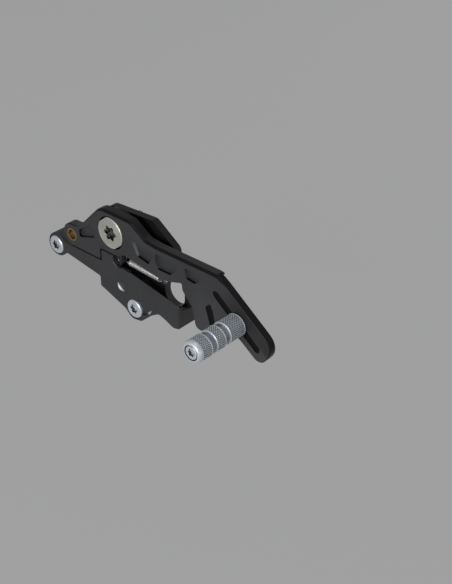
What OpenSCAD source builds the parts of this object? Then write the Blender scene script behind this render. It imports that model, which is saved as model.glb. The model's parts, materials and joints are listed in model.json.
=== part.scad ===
// Rear brake pedal for a motorcycle, right-hand side.
// X runs forward, Y runs inward to the frame, Z up.
// The origin lies on the pivot axis, in the plane where the carrier meets the frame.

/* [Levels across the pedal] */
// Distance from the frame plane to the outer face of arm and carrier
face_off = 20; // [17:0.5:26]
// Thickness of the milled arm plate
arm_t = 8; // [6:0.5:10]
// How much thinner the slot plate and the leg are than the bar
plate_step = 2; // [0.5:0.5:3]
// Thickness of the carrier's inner plate, which carries the pivot
lug_t = 6; // [5:0.5:7]
// Chamfer round the carrier's rear boss
carrier_edge = 1.2; // [0.4:0.1:1.6]
// Chamfer along the arm's top edge
top_edge = 1.8; // [1:0.1:1.9]
// Chamfer along the arm's other edges
low_edge = 0.5; // [0.3:0.1:0.8]
// Chamfer round the carrier's block
block_edge = 0.6; // [0.3:0.1:0.7]

/* [Hub and pivot] */
// Radius of the hub's lower half
hub_r = 18.6; // [17:0.1:21]
// Height of the hub's flat top above the axis
hub_top = 17.6; // [16.8:0.1:19]
// Diameter of the pivot bolt's bearing journal
journal_d = 16; // [12:0.5:18]
// Wall of the flanged bushes
bush_wall = 1; // [0.8:0.1:1.5]
// Diameter of the bushes' flanges
bush_flange_d = 21; // [19:0.5:22]
// Thickness of the bushes' flanges
flange_t = 0.9; // [0.6:0.1:1.2]
// Length of each bush in the hub
bush_len = 3.6; // [2:0.1:4]
// Radial play between journal and bush
journal_play = 0.04; // [0.02:0.01:0.08]
// Axial play at each flange
axial_play = 0.1; // [0.05:0.05:0.2]
// Diameter of the pivot bolt's head
head_d = 26.2; // [24:0.1:28]
// Thickness of the pivot bolt's head
head_t = 3.9; // [3:0.1:4.5]
// How far the head stands out of the arm's face
head_proud = 1; // [0:0.1:1.5]
// Distance of the head's two flats from the axis
head_flat = 12.1; // [11.5:0.1:13]
// Diameter of the pivot bolt's thread
pivot_thread_d = 12; // [10:1:12]
// Length of thread that stands out of the frame plane
pivot_reach = 14; // [8:1:20]
// Thickness of the seal rings' cord
seal_d = 0.8; // [0.5:0.1:0.9]

/* [Arm] */
// Height of the bar's top edge over the axis
bar_top = 6.9; // [5.5:0.1:8]
// Depth of the bar's lower edge under the axis
bar_bottom = 19.6; // [18.4:0.1:20.4]
// Distance from the pivot to the bend
bend_x = 108.8; // [106:0.2:110]
// Distance from the pivot to the leg's rear edge
leg_x = 80.5; // [77:0.5:84]
// Depth of the leg's foot under the axis
leg_depth = 47.4; // [45:0.2:50]
// Depth of the milled pockets
pocket_depth = 2.4; // [1:0.1:3]
// Distance from the pivot back to the push-rod hole
rod_x = 46; // [42:0.5:48]
// Depth of the push-rod hole under the axis
rod_z = 19; // [17:0.5:20]
// Radius of the boss round the push-rod hole
rod_boss_r = 9.6; // [8.5:0.1:10]
// Inner diameter of the push-rod bush
rod_pin_d = 8; // [6:0.5:8]
// Wall of the push-rod bush
rod_bush_wall = 1.5; // [1:0.1:2]

/* [Adjusting slot] */
// Fall of the slot below level
slot_fall = 37.2; // [35:0.1:39]
// Distance forward from the pivot to the slot's middle
slot_x = 127.4; // [126:0.1:129]
// Depth of the slot's middle under the axis
slot_z = 23.9; // [23:0.1:25]
// Length of the slot from end to end
slot_len = 54.5; // [46:0.5:56]
// Width of the slot
slot_w = 6.2; // [6.2:0.1:7]
// Where the step stands in the slot, forward of its middle
step_at = 1.5; // [-15:0.5:15]

/* [Step] */
// Diameter of the knurled bands
step_d = 18; // [16:0.5:20]
// Diameter of the two grooves
groove_d = 15.4; // [13:0.2:16]
// Length of the step
step_len = 48; // [44:1:56]
// Length of the band next to the arm
band_one = 16.3; // [14:0.1:18]
// Length of the middle band
band_two = 9.3; // [8:0.1:11]
// Width of each groove
groove_w = 4.5; // [3:0.1:6]
// Radius of the flat at the tip
tip_flat_r = 6.7; // [6.5:0.1:7.5]
// Diameter of the clamping screw
clamp_d = 6; // [5:0.5:6]
// Diameter of the clamping screw's head
clamp_head_d = 11.6; // [9:0.1:12]
// Play of everything that slides along the slot
slide_play = 0.1; // [0.05:0.05:0.15]

// Length of the slot nut's plate
nut_len = 18; // [14:1:24]
// Width of the slot nut's plate
nut_w = 9.5; // [8:0.5:14]
// Thickness of the slot nut's plate
nut_t = 3.2; // [2.8:0.2:6]

/* [Carrier] */
// Depth under the axis of the ledge that the rear lever rests over
ledge_z = 29.8; // [29.4:0.1:31]
// Gap between the arm's edges and the carrier
edge_gap = 1.2; // [0.6:0.1:1.4]
// Distance forward from the pivot to the carrier's front end
front_x = 70.3; // [68:0.1:72]
// Depth under the axis of the front end's top edge
front_top = 37; // [36:0.1:38]
// Thickness of the wall that hides the spring
outer_wall = 3.6; // [3:0.1:4]
// Radius of the round notch in the inner plate
notch_r = 10.3; // [8:0.1:10.6]
// Distance forward from the pivot to the front screw
screw_x = 22.3; // [20:0.1:24]
// Depth of the front screw under the axis
screw_z = 59.1; // [58:0.1:60]
// Distance back from the pivot to the rear screw
rear_screw_x = 66; // [65:0.5:70]
// Depth of the rear screw under the axis
rear_screw_z = 36; // [35:0.5:37]
// Diameter of the two mounting screws
screw_d = 8; // [6:1:8]
// Diameter of the mounting screws' heads
screw_head_d = 15.6; // [13:0.1:16]
// Thickness of the mounting screws' heads
screw_head_t = 5; // [4:0.1:6]
// Length of screw that stands out of the frame plane
screw_reach = 14; // [8:1:20]
// Wall of the steel sleeves in the carrier
sleeve_wall = 1.5; // [1:0.1:2]

// Distance of the rest buffer back from the pivot
buffer_x = 33; // [26:1:36]
// Diameter of the rest buffer
buffer_d = 8; // [6:0.5:9]
// Depth of the rest buffer in the ledge
buffer_sunk = 5; // [3:0.5:6]

/* [Return spring] */
// Distance of the arm's spring pin from the frame plane's origin, forward
arm_pin_x = 2; // [1:0.1:4]
// Depth of the arm's spring pin under the axis
arm_pin_z = 25.5; // [25:0.1:26]
// Distance forward to the carrier's spring pin
hook_x = 47.5; // [46:0.1:48.5]
// Depth of the carrier's spring pin under the axis
hook_z = 27.2; // [26:0.1:27.4]
// Diameter of both spring pins
pin_d = 3.5; // [3:0.1:3.8]
// Diameter of the spring wire
wire_d = 1.1; // [0.8:0.1:1.2]
// Outer diameter of the coil
coil_d = 5.7; // [5.2:0.1:5.8]
// Pitch of the coil
coil_pitch = 1.3; // [1.3:0.1:2.4]

/* [Hidden] */
$fn = 64;

eps = 0.01;
arc_step = 12;

face_y = -face_off;
arm_back = face_y + arm_t;
lug_face = -lug_t;

boss_back = lug_face - flange_t - axial_play;
bore_floor = face_y - head_proud + head_t + axial_play + flange_t;
bore_r = journal_d / 2 + journal_play + bush_wall;
seal_r = bush_flange_d / 2 + seal_d / 2 + 0.3;
head_recess_r = max(head_d / 2, seal_r + seal_d / 2) + 0.6;
boss_r = 16.5;

relief_w = 1.2;

black = "#3a3b3d";
bare = "#aab0b6";
zinc = "#c3c4bb";
steel = "#9aa0a6";
bronze = "#8a6a3c";
rubber = "#1c1c1e";

// A point at a radius and an angle
function polar(r, a) = r * [cos(a), sin(a)];
function unit(v) = v / norm(v);

// The arc that rounds corner q, between its neighbours p and s, with radius r, moved outward by d
function round_corner(p, q, s, r, d = 0) =
    let (u = unit(p - q), v = unit(s - q), half = acos(u * v) / 2, side = cross(q - p, s - q) > 0 ? 1 : -1)
    r <= 0 ? [q - side * d * unit(u + v) / sin(half)] :
    let (c = q + unit(u + v) * r / sin(half), from = q + u * r / tan(half) - c, to = q + v * r / tan(half) - c,
        a = atan2(from.y, from.x), sweep = (atan2(to.y, to.x) - a + 540) % 360 - 180,
        steps = max(1, ceil(abs(sweep) / arc_step)))
    [for (i = [0:steps]) c + polar(r + side * d, a + sweep * i / steps)];

// Corner i of an outline of corners [x, z, radius], listed against the clock as seen from outside
function corner_arc(corners, i, d = 0) =
    let (n = len(corners), p = corners[(i + n - 1) % n], q = corners[i], s = corners[(i + 1) % n])
    round_corner([p.x, p.y], [q.x, q.y], [s.x, s.y], q.z, d);

function outline(corners) = [for (i = [0:len(corners) - 1]) each corner_arc(corners, i)];

// What a chamfer round a plate's outer face takes off: its width is a corner's fourth number, if there is one
module edge_cut(corners, y, width) {
    over = 0.2;
    points = [for (i = [0:len(corners) - 1])
        let (own = corners[i][3], w = (is_undef(own) ? width : own) + over,
            low = corner_arc(corners, i, -w), high = corner_arc(corners, i, over))
        for (k = [0:len(low) - 1])
            each [[low[k].x, y - over, low[k].y], [high[k].x, y + w, high[k].y], [high[k].x, y - over, high[k].y]]];
    n = len(points) / 3;
    polyhedron(points, [for (i = [0:n - 1], k = [0:2]) let (j = (i + 1) % n, l = (k + 1) % 3)
        [3 * i + k, 3 * i + l, 3 * j + l, 3 * j + k]]);
}

// A straight prism across the pedal, from an outline in X and Z
module prism(path, y_out, y_in) {
    translate([0, y_in, 0]) rotate([90, 0, 0]) linear_extrude(y_in - y_out) polygon(path);
}

// A round bar or bore across the pedal
module bar(at, r, y_out, y_in) {
    translate([at.x, y_out, at.y]) rotate([-90, 0, 0]) cylinder(r = r, h = y_in - y_out);
}

// A turned piece across the pedal: radius and level pairs
module turned(at, profile) {
    translate([at.x, 0, at.y]) rotate([-90, 0, 0]) rotate_extrude() polygon(profile);
}

// A six-lobed driver recess
function lobes(r) = [for (i = [0:59]) polar(r * (0.86 + 0.14 * cos(36 * i)), 6 * i)];

// The groove under the thread, just inside the frame plane
function relief(r) = [[r, -relief_w], [r - 0.6, -relief_w], [r - 0.6, 0], [r, 0]];

module driver_recess(at, r, y_out, depth) {
    translate([at.x, 0, at.y]) prism(lobes(r), y_out - eps, y_out + depth);
    turned(at, [[0, y_out + depth - eps], [r * 0.6, y_out + depth - eps], [0, y_out + depth + r * 0.3]]);
}

// A ring of round section
module ring(at, y, r, cord_r) {
    translate([at.x, y, at.y]) rotate([-90, 0, 0]) rotate_extrude() translate([r, 0]) circle(r = cord_r, $fn = 20);
}

pivot = [0, 0];
rod_hole = [-rod_x, -rod_z];
arm_pin = [arm_pin_x, -arm_pin_z];
carrier_pin = [hook_x, -hook_z];
front_hole = [screw_x, -screw_z];
rear_hole = [-rear_screw_x, -rear_screw_z];

// Pedal arm

slot_dir = polar(1, -slot_fall);
slot_mid = [slot_x, -slot_z];
step_c = slot_mid + step_at * slot_dir;
lever_z = -ledge_z + edge_gap;
lever_x = -14;
tab_w = 8;
tab_t = 4;
tab_wall = 2.6;
plate_end = slot_len / 2 + 7.3;
plate_back = arm_back - plate_step;
// Where the leg's front edge runs out into the slot plate, along the slot from its middle
leg_meets = leg_x + 46.508 - slot_x;

arm_corners = [
    [-rod_x - rod_boss_r, lever_z, rod_boss_r - 0.1],
    [lever_x, lever_z, 1.6],
    [lever_x, -hub_r, 2.5],
    [5.5, -hub_r, 13],
    [14, -hub_r + 4.1, 5],
    [20.5, -bar_bottom + 4, 8],
    [leg_x - 40.5, -bar_bottom + 1, 20],
    [leg_x - 28.5, -bar_bottom - 0.2, 20],
    [leg_x - 18, -bar_bottom + 1.7, 12],
    [leg_x - 6.8, -bar_bottom + 5.4, 1.2],
    [leg_x - 6.2, -bar_bottom, 4],
    [leg_x - 3.6, -bar_bottom - 3.5, 5],
    [leg_x + 3.2, -bar_bottom - 10.1, 5],
    [leg_x + 4.8, -bar_bottom - 16, 8],
    [leg_x + 7, -leg_depth, 4.6],
    [leg_x + 31, -leg_depth, 4],
    slot_corner(leg_meets, -11.722, 4),
    slot_corner(leg_meets / 2 + 12.196, -9.1, 12),
    slot_corner(plate_end, -8.3, 7),
    slot_corner(plate_end, 15, 12),
    slot_corner(-24, 14.1, 3),
    [bend_x, bar_top, 12, top_edge],
    [48.1, bar_top - 0.6, 14.2, top_edge],
    [37.1, bar_top + 0.4, 7.2, top_edge],
    [20.7, hub_top, 9.3, top_edge],
    [-12.7, hub_top, 13.8, top_edge],
    [-rod_x + 8, -rod_z + rod_boss_r, 14],
    [-rod_x - rod_boss_r, -rod_z + rod_boss_r, rod_boss_r - 0.1]
];

// A corner placed along and across the slot
function slot_corner(along, across, r) =
    let (p = slot_mid + along * slot_dir + across * [-slot_dir.y, slot_dir.x]) [p.x, p.y, r];

// The level at a distance under the slot's middle line
function under_slot(x, below) = slot_mid.y - (x - slot_mid.x) * tan(slot_fall) - below;

window_corners = [
    [leg_x + 17, under_slot(leg_x + 17, 22.795), 2],
    [leg_x + 22.6, -leg_depth + 5.9, 2],
    [leg_x + 28.6, -leg_depth + 5.9, 2.4],
    [leg_x + 22.6, under_slot(leg_x + 22.6, 12.745), 2.2]
];

rear_pocket = [[-37, -17.6, 2], [-19.4, -11.8, 2], [-17.6, -4.5, 2], [-23, -1.5, 3], [-37, -11, 3]];
first_pocket = [[28.6, -9.4, 1.2], [39.8, -11.6, 1.6], [46, -2.2, 1.6], [40, 0.2, 2], [23.4, 1.8, 1.2]];
second_pocket = [[50.2, -11.9, 1.4], [62.6, -11.7, 2], [70.2, -3.8, 1.4], [66, 0.6, 2], [47.2, 0.4, 1.6],
    [47.2, -6.5, 1.4]];
third_pocket = [[79, -8.1, 1.2], [86.9, -8.9, 1.4], [91.2, -5.8, 1.4], [94, 0.6, 2], [77.4, 0.6, 1.6],
    [77.4, -3.6, 1.4]];

module slot_hole(w, y_out, y_in) {
    half = slot_len / 2 - w / 2;
    for (s = [-1, 1]) bar(slot_mid + s * half * slot_dir, w / 2, y_out, y_in);
    translate([slot_mid.x, y_out, slot_mid.y]) rotate([0, slot_fall, 0])
        translate([-half, 0, -w / 2]) cube([2 * half, y_in - y_out, w]);
}

// The milled-down back of the slot plate and the leg
module plate_relief() {
    from = (leg_x + 21.411 - slot_mid.x) / cos(slot_fall);
    translate([slot_mid.x, plate_back, slot_mid.y]) rotate([0, slot_fall, 0])
        translate([from, 0, -leg_depth - 4.6]) cube([plate_end + 13 - from, plate_step + 1, leg_depth + 32.6]);
}

module spring_tab() {
    bar(arm_pin, pin_d / 2 + tab_wall, arm_back - tab_t, arm_back);
    translate([arm_pin.x - tab_w / 2, arm_back - tab_t, arm_pin.y]) cube([tab_w, tab_t, arm_pin_z - hub_r + 3]);
}

module pedal_arm() {
    color(black) difference() {
        union() {
            difference() {
                prism(outline(arm_corners), face_y, arm_back);
                edge_cut(arm_corners, face_y, low_edge);
            }
            bar(pivot, boss_r, arm_back - 1, boss_back);
            spring_tab();
        }
        bar(pivot, bore_r, face_y - 1, boss_back + 1);
        bar(pivot, head_recess_r, face_y - 1, bore_floor);
        bar(rod_hole, rod_pin_d / 2 + rod_bush_wall, face_y - 1, arm_back + 1);
        bar(arm_pin, pin_d / 2, face_y, arm_back + 1);
        slot_hole(slot_w, face_y - 1, arm_back + 1);
        prism(outline(window_corners), face_y - 1, arm_back + 1);
        plate_relief();
        for (p = [rear_pocket, first_pocket, second_pocket, third_pocket])
            prism(outline(p), face_y - 1, face_y + pocket_depth);
    }
}

// Flanged plain bushes: one in from each side of the hub
module flanged_bush(y_flange, inward) {
    turned(pivot, [
        [journal_d / 2 + journal_play, y_flange],
        [bush_flange_d / 2, y_flange],
        [bush_flange_d / 2, y_flange + inward * flange_t],
        [bore_r, y_flange + inward * flange_t],
        [bore_r, y_flange + inward * (flange_t + bush_len)],
        [journal_d / 2 + journal_play, y_flange + inward * (flange_t + bush_len)]
    ]);
}

module pivot_bush_outer() {
    color(bronze) flanged_bush(bore_floor - flange_t, 1);
}

module pivot_bush_inner() {
    color(bronze) flanged_bush(boss_back + flange_t, -1);
}

module pivot_seal_outer() {
    color(rubber) ring(pivot, bore_floor - seal_d / 2, seal_r, seal_d / 2);
}

module pivot_seal_inner() {
    color(rubber) ring(pivot, boss_back + seal_d / 2, seal_r, seal_d / 2);
}

// Shoulder bolt: flat head with two flats, bearing journal, thread through the carrier
module pivot_bolt() {
    top = face_y - head_proud;
    color(zinc) difference() {
        intersection() {
            turned(pivot, [
                [0, top],
                [head_d / 2 - 0.5, top],
                [head_d / 2, top + 0.5],
                [head_d / 2, top + head_t],
                [journal_d / 2, top + head_t],
                [journal_d / 2, lug_face],
                [pivot_thread_d / 2, lug_face],
                each relief(pivot_thread_d / 2),
                [pivot_thread_d / 2, pivot_reach - 1.2],
                [pivot_thread_d / 2 - 1.2, pivot_reach],
                [0, pivot_reach]
            ]);
            rotate([0, 50, 0]) translate([-head_flat, top - 1, -head_d])
                cube([2 * head_flat, pivot_reach - top + 2, 2 * head_d]);
        }
        driver_recess(pivot, 6.6, top, 3);
    }
}

module push_rod_bush() {
    color(bronze) difference() {
        bar(rod_hole, rod_pin_d / 2 + rod_bush_wall, face_y, arm_back);
        bar(rod_hole, rod_pin_d / 2 + 0.05, face_y - 1, arm_back + 1);
    }
}

// Spring pins: a shank pressed into its plate, a neck for the hook and a collar
module spring_pin(at, y_root, y_end, inward) {
    collar = 0.8;
    turned(at, [
        [0, y_root],
        [pin_d / 2, y_root],
        [pin_d / 2, y_end - inward * collar],
        [pin_d / 2 + 0.8, y_end - inward * collar],
        [pin_d / 2 + 0.8, y_end],
        [0, y_end]
    ]);
}

module arm_spring_pin() {
    color(steel) spring_pin(arm_pin, arm_back - tab_t, lug_face - 1, 1);
}

module carrier_spring_pin() {
    color(steel) spring_pin(carrier_pin, lug_face + 4, arm_back + 0.1, -1);
}

// Carrier: a milled block under the arm, with an inner plate that rises behind the hub

trough_out = face_y + outer_wall;
boss_end_r = 10;
notch_c = [53, -39.2];

block_corners = [
    [-rear_screw_x, -rear_screw_z - boss_end_r + 1, 0],
    [-rear_screw_x + 12, -39.3, 6],
    [-15.6, -44.9, 1],
    [-15.6, -53.4, 1.6],
    [12, -63.2, 6],
    [19, -screw_z - 10.6, 7],
    [29, -screw_z - 8.8, 4],
    [40.5, -57.6, 5],
    [48.6, -52.6, 6],
    [57, -55.4, 6],
    [64, -58.4, 5],
    [front_x, -56.9, 1.6],
    [front_x, -front_top, 2],
    [60.5, -front_top + 1.9, 6],
    [26, -29.2, 10],
    [19.3, -28, 4],
    [5.2, -28.9, 3.6],
    [0.4, -25, 2.6],
    [0.4, -hub_r - edge_gap, 1.2],
    [lever_x + edge_gap, -hub_r - edge_gap, 1.2],
    [lever_x + edge_gap, -ledge_z, 1],
    [-rear_screw_x + 9, -ledge_z, 2],
    [-rear_screw_x + 5, -rear_screw_z + boss_end_r - 1, 0],
    [-rear_screw_x, -rear_screw_z + boss_end_r - 1, 0]
];

lug_corners = [
    [-20, -40, 0],
    [44, -48, 0],
    [43.4, -hook_z - 4.6, 2],
    [carrier_pin.x + 4.4, -hook_z - 4.2, 4],
    [55.8, 0, 6],
    [31.6, hub_top - 1, 7],
    [-19, hub_top - 4.4, 9]
];

trough_corners = [
    [-9, -33.4, 2],
    [22, -36, 6],
    [44, -49.6, 4],
    [front_x - 13.3, -49.6, 5],
    [front_x - 2.3, -43, 0],
    [front_x - 2.3, 4, 0],
    [-9, 4, 0]
];
trough_fall = 9.8;

// What bevels the outer wall's top inward and opens the trough at the front end
module trough_mouth() {
    translate([26, 0, -29.2]) rotate([0, trough_fall, 0]) translate([-9, 0, 0]) rotate([90, 0, 90])
        linear_extrude(front_x) polygon([[lug_face, 8], [face_y + 0.8, 8], [face_y + 0.8, 0], [trough_out, -3.8],
            [trough_out + 2.2, -5], [trough_out + 5.8, -5.8], [lug_face, -6.6]]);
}

// A shallow channel with a round bottom, which runs down from the top and ends in a hollow
channel_r = 12.2;
channel_deep = 2.2;
module channel() {
    translate([10.5, face_y - channel_r + channel_deep, -41.6]) {
        sphere(r = channel_r);
        cylinder(r1 = channel_r, r2 = channel_r - 1.2, h = 24);
    }
}

scoop_corners = [[26, -61.4, 4], [35.4, -59.6, 3], [43, -51, 3], [36, -45, 5], [24, -50, 5]];

module screw_seat(at) {
    bar(at, screw_d / 2 + sleeve_wall, face_y - 1, 1);
    bar(at, screw_head_d / 2 + 0.4, face_y - 1, face_y + screw_head_t - 0.6);
}

module carrier_bracket() {
    color(black) difference() {
        union() {
            difference() {
                prism(outline(block_corners), face_y, 0);
                prism(outline(trough_corners), trough_out, lug_face);
                trough_mouth();
                edge_cut(block_corners, face_y, block_edge);
            }
            turned(rear_hole, [
                [0, face_y],
                [boss_end_r - carrier_edge, face_y],
                [boss_end_r, face_y + carrier_edge],
                [boss_end_r, 0],
                [0, 0]
            ]);
            prism(outline(lug_corners), lug_face, 0);
        }
        bar(pivot, pivot_thread_d / 2, lug_face - 1, 1);
        bar(notch_c, notch_r, lug_face - 1, 1);
        translate([notch_c.x - notch_r + 0.5, lug_face - 1, notch_c.y])
            cube([2 * notch_r - 0.5, lug_t + 2, notch_c.y * -1 - hook_z - pin_d / 2 - 2.8]);
        screw_seat(front_hole);
        screw_seat(rear_hole);
        bar(carrier_pin, pin_d / 2, lug_face - 1, lug_face + 4);
        channel();
        prism(outline(scoop_corners), face_y - 1, face_y + 1.6);
        buffer_place() cylinder(d = buffer_d, h = 2 * buffer_sunk);
    }
}

// The pedal's rest stop: a rubber plug in the ledge under the rear lever
module buffer_place() {
    translate([-buffer_x, face_y + arm_t * 0.75, -ledge_z - buffer_sunk]) children();
}

module stop_buffer() {
    color(rubber) buffer_place() cylinder(d = buffer_d, h = buffer_sunk + edge_gap - 0.05);
}

// Mounting screws with a low round head, each in a steel sleeve
module mounting_screw(at) {
    top = face_y - 0.6;
    difference() {
        turned(at, [
            [0, top],
            [screw_head_d / 2 - 0.8, top],
            [screw_head_d / 2, top + 0.8],
            [screw_head_d / 2, top + screw_head_t],
            [screw_d / 2, top + screw_head_t],
            each relief(screw_d / 2),
            [screw_d / 2, screw_reach - 1],
            [screw_d / 2 - 1, screw_reach],
            [0, screw_reach]
        ]);
        driver_recess(at, 4.2, top, 3);
    }
}

module mounting_sleeve(at) {
    difference() {
        bar(at, screw_d / 2 + sleeve_wall, face_y + screw_head_t - 0.6, 0);
        bar(at, screw_d / 2, face_y, 1);
    }
}

module front_screw() {
    color(bare) mounting_screw(front_hole);
}

module front_sleeve() {
    color(steel) mounting_sleeve(front_hole);
}

module rear_screw() {
    color(bare) mounting_screw(rear_hole);
}

module rear_sleeve() {
    color(steel) mounting_sleeve(rear_hole);
}

// Return spring: a close coil between two open hooks

spring_y = (arm_back + lug_face) / 2;
hook_r = pin_d / 2 + wire_d / 2 + 0.05;
spring_vec = carrier_pin - arm_pin;
spring_fall = -atan2(spring_vec.y, spring_vec.x);
spring_span = norm(spring_vec);
coil_r = coil_d / 2 - wire_d / 2;
coil_from = 6.5;
coil_len = spring_span - 2 * coil_from;

// The wire's section at each step along the coil, as a ring of points, starting and ending below the axis
module coil_wire(turns, steps = 12, sides = 6) {
    n = turns * steps;
    points = [for (i = [0:n]) let (a = 360 * i / steps - 90, x = coil_len * i / n)
        each [for (k = [0:sides - 1]) let (r = coil_r + wire_d / 2 * cos(360 * k / sides))
            [x + wire_d / 2 * sin(360 * k / sides), r * cos(a), r * sin(a)]]];
    skin = [for (i = [0:n - 1], k = [0:sides - 1]) let (j = (k + 1) % sides)
        [i * sides + k, i * sides + j, (i + 1) * sides + j, (i + 1) * sides + k]];
    polyhedron(points, concat([[for (k = [sides - 1:-1:0]) k]], skin, [[for (k = [0:sides - 1]) n * sides + k]]));
}

module spring_hook() {
    rotate([90, 0, 0]) rotate([0, 0, 90]) rotate_extrude(angle = 270) translate([hook_r, 0])
        circle(r = wire_d / 2, $fn = 16);
    translate([0, 0, -hook_r]) rotate([0, 90, 0]) cylinder(r = wire_d / 2, h = coil_from + 0.4, $fn = 16);
}

module return_spring() {
    color(steel) translate([arm_pin.x, spring_y, arm_pin.y]) rotate([0, spring_fall, 0]) {
        spring_hook();
        translate([coil_from, 0, 0]) coil_wire(round(coil_len / coil_pitch));
        translate([spring_span, 0, 0]) mirror([1, 0, 0]) spring_hook();
    }
}

// Step: a knurled peg clamped through the slot

step_base = face_y - 0.8 - slide_play / 5;
step_tip = step_base - step_len + 0.8;
nut_face = plate_back + slide_play / 2;

module step_peg() {
    b1 = step_base - band_one + 0.8;
    b2 = b1 - groove_w - band_two;
    r = step_d / 2;
    g = groove_d / 2;
    soft = 0.4;
    clamp_r = clamp_d / 2 + 0.2;
    seat = step_tip + 4.6;
    color(bare) turned(step_c, [
        [clamp_r, step_base],
        [r - soft, step_base],
        [r, step_base - soft],
        [r, b1 + soft],
        [r - soft, b1],
        [g, b1],
        [g, b1 - groove_w],
        [r - soft, b1 - groove_w],
        [r, b1 - groove_w - soft],
        [r, b2 + soft],
        [r - soft, b2],
        [g, b2],
        [g, b2 - groove_w],
        [r - soft, b2 - groove_w],
        [r, b2 - groove_w - soft],
        for (a = [0:15:90]) [tip_flat_r + (r - tip_flat_r) * cos(a), step_tip + 3.6 - 3.6 * sin(a)],
        [clamp_head_d / 2 + 0.25, step_tip],
        [clamp_head_d / 2 + 0.25, seat],
        [clamp_r, seat]
    ]);
}

module step_screw_washer() {
    seat = step_tip + 4.6;
    color(steel) difference() {
        bar(step_c, clamp_head_d / 2 - 0.4, seat - 0.8, seat);
        bar(step_c, clamp_d / 2 + 0.1, seat - 1, seat + 1);
    }
}

module step_screw() {
    seat = step_tip + 3.8;
    r = clamp_head_d / 2;
    color(steel) difference() {
        turned(step_c, [
            [0, step_tip + 0.2],
            [r - 0.7, step_tip + 0.2],
            [r, step_tip + 0.8],
            [r, seat],
            [clamp_d / 2, seat],
            [clamp_d / 2, nut_face + nut_t + 0.2],
            [0, nut_face + nut_t + 0.2]
        ]);
        driver_recess(step_c, 3.3, step_tip + 0.2, 2.4);
    }
}

module step_seat_ring() {
    color(steel) difference() {
        bar(step_c, step_d / 2 - 0.6, step_base, step_base + 0.8);
        bar(step_c, clamp_d / 2 + 0.2, step_base - 1, step_base + 2);
    }
}

// Slot nut: a plate behind the arm with a tongue that keeps it square in the slot
module slot_nut() {
    tongue = slot_w / 2 - slide_play;
    tongue_half = 3;
    color(steel) difference() {
        union() {
            translate([step_c.x, nut_face, step_c.y]) rotate([0, slot_fall, 0])
                translate([-nut_len / 2, 0, -nut_w / 2]) cube([nut_len, nut_t, nut_w]);
            for (s = [-1, 1]) bar(step_c + s * tongue_half * slot_dir, tongue, face_y + 2, nut_face + 1);
            translate([step_c.x, face_y + 2, step_c.y]) rotate([0, slot_fall, 0])
                translate([-tongue_half, 0, -tongue]) cube([2 * tongue_half, arm_t - plate_step - 1, 2 * tongue]);
        }
        bar(step_c, clamp_d / 2, face_y, nut_face + nut_t + 1);
    }
}

pedal_arm();
pivot_bush_outer();
pivot_bush_inner();
pivot_seal_outer();
pivot_seal_inner();
pivot_bolt();
push_rod_bush();
arm_spring_pin();
carrier_bracket();
carrier_spring_pin();
return_spring();
stop_buffer();
front_screw();
front_sleeve();
rear_screw();
rear_sleeve();
step_peg();
step_screw();
step_screw_washer();
step_seat_ring();
slot_nut();
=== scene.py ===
# Dresses the rear brake pedal: finishes, rounded edges, knurls, threads and spring,
# with a plain studio round it.

import json
import math

import bpy
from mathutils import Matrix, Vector

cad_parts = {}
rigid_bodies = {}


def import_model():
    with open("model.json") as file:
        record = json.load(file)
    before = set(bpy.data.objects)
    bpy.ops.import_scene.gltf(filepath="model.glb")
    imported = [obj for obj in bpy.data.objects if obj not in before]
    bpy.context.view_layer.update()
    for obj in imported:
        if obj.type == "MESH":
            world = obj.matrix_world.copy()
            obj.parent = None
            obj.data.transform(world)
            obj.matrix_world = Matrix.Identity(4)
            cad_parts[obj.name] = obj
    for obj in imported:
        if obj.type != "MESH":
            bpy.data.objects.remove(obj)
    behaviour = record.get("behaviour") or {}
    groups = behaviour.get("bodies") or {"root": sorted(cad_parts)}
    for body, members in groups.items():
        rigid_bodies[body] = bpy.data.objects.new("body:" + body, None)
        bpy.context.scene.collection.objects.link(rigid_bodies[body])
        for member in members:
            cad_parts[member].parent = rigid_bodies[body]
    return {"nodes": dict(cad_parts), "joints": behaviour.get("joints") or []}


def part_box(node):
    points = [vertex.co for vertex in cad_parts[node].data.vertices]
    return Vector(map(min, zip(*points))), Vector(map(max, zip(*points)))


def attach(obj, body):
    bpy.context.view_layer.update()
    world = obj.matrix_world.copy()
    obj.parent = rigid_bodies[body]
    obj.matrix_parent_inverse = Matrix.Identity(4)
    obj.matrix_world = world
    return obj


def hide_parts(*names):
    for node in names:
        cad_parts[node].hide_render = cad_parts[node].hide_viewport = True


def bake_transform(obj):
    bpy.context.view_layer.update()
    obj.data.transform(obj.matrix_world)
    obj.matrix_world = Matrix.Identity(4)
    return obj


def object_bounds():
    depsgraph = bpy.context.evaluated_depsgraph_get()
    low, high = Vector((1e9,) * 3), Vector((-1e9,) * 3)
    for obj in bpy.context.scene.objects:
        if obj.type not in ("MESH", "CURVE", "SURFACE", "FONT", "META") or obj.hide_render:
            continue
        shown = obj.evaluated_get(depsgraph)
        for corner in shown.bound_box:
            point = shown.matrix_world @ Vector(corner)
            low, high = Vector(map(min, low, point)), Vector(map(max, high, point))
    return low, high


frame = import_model()

bl_info = {
    "name": "Rear brake pedal",
    "version": (1, 0, 0),
    "blender": (4, 5, 0),
    "location": "View3D > Sidebar > Pedal",
    "description": "Makes the visible pieces of a rear brake pedal on its packed frame",
    "category": "Object",
}

MM = 0.001
CAD_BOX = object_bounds()
X, Y, Z = Vector((1, 0, 0)), Vector((0, 1, 0)), Vector((0, 0, 1))   # forward, inward and up


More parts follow.
